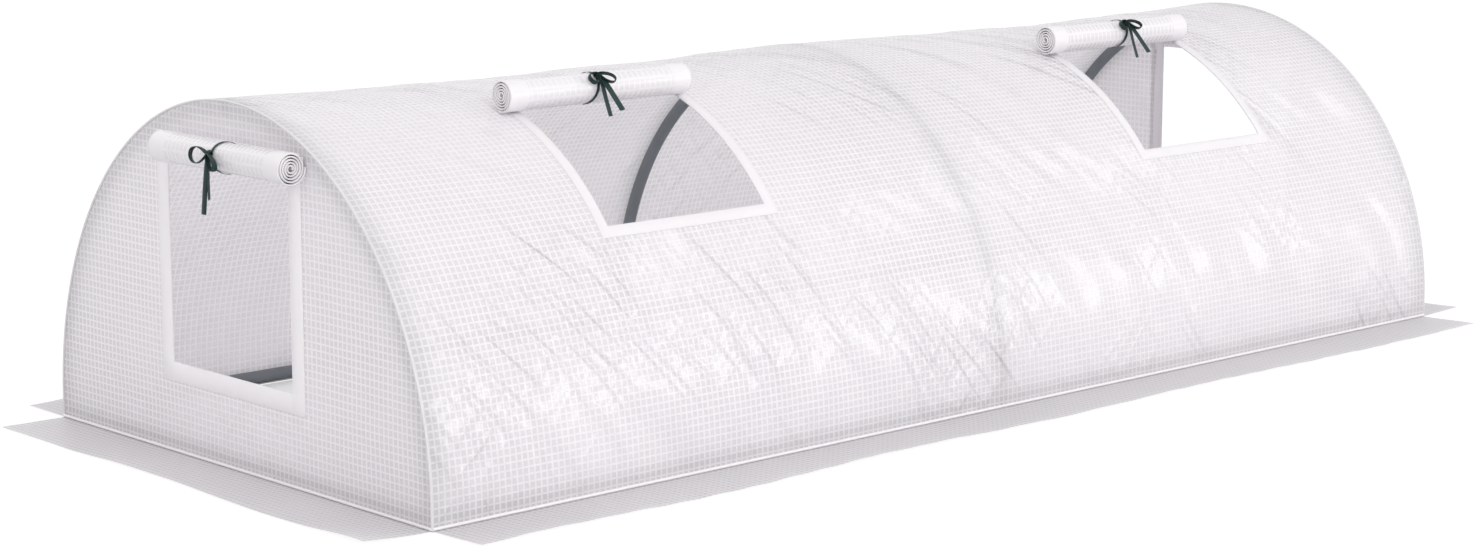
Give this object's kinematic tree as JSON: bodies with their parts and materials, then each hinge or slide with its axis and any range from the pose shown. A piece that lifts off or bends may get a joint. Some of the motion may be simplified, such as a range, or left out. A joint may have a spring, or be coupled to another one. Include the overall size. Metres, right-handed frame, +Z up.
{
  "type": "tunnel greenhouse",
  "caption": "Low half-round tunnel greenhouse: a tube frame under a white mesh-reinforced cover, with end doors, side windows, rolled flaps in ribbon ties, and ground skirts.",
  "frame": {"origin": "on the ground, under the middle of the tunnel", "axes": "+X along the tunnel from the front door to the rear door; +Y across it, away from the side with the windows; +Z up"},
  "size_m": [2.6418, 1.2418, 0.5907],
  "materials": {
    "frame_paint": "satin slate grey coating",
    "joint_plastic": "matt moulded black",
    "cover_film": "white translucent film over a grid of threads, slight gloss",
    "white_tape": "plain white film, slight gloss",
    "skirt_film": "light grey fine-woven film",
    "ribbon": "satin ribbon, very dark green"
  },
  "bodies": {
    "greenhouse": {"hoop_front_left": "frame_paint", "foot_joint_front_left": "joint_plastic", "hoop_front_right": "frame_paint", "foot_joint_front_right": "joint_plastic", "crest_joint_front": "joint_plastic", "hoop_middle_left": "frame_paint", "foot_joint_middle_left": "joint_plastic", "hoop_middle_right": "frame_paint", "foot_joint_middle_right": "joint_plastic", "crest_joint_middle": "joint_plastic", "hoop_rear_left": "frame_paint", "foot_joint_rear_left": "joint_plastic", "hoop_rear_right": "frame_paint", "foot_joint_rear_right": "joint_plastic", "crest_joint_rear": "joint_plastic", "base_rail_left_front": "frame_paint", "base_rail_left_rear": "frame_paint", "base_rail_right_front": "frame_paint", "base_rail_right_rear": "frame_paint", "ground_bar_front": "frame_paint", "ground_bar_rear": "frame_paint", "tunnel_cover": "cover_film", "end_panel_front": "cover_film", "end_bead_front": "white_tape", "door_tape_front": "white_tape", "window_tape_front": "white_tape", "door_flap_head_front": "white_tape", "window_flap_head_front": "white_tape", "end_panel_rear": "cover_film", "end_bead_rear": "white_tape", "door_tape_rear": "white_tape", "window_tape_rear": "white_tape", "door_flap_head_rear": "white_tape", "window_flap_head_rear": "white_tape", "skirt_front": "skirt_film", "skirt_rear": "skirt_film", "skirt_left": "skirt_film", "skirt_right": "skirt_film"},
    "door_flap_front": {"door_roll_front": "white_tape", "door_tie_front": "ribbon"},
    "door_flap_rear": {"door_roll_rear": "white_tape", "door_tie_rear": "ribbon"},
    "window_flap_front": {"window_roll_front": "white_tape", "window_tie_front": "ribbon"},
    "window_flap_rear": {"window_roll_rear": "white_tape", "window_tie_rear": "ribbon"}
  },
  "joints": [
    {"name": "door_front_drop", "type": "slide", "parent": "greenhouse", "child": "door_flap_front", "axis": [0, 0, -1], "range_m": [0, 0.33]},
    {"name": "door_rear_drop", "type": "slide", "parent": "greenhouse", "child": "door_flap_rear", "axis": [0, 0, -1], "range_m": [0, 0.33]},
    {"name": "window_front_drop", "type": "hinge", "parent": "greenhouse", "child": "window_flap_front", "pos_m": [-0.622, 0.0002, 0.0842], "axis": [1, 0, 0], "range_deg": [0, 27]},
    {"name": "window_rear_drop", "type": "hinge", "parent": "greenhouse", "child": "window_flap_rear", "pos_m": [0.64, 0.0005, 0.084], "axis": [1, 0, 0], "range_deg": [0, 27]}
  ]
}
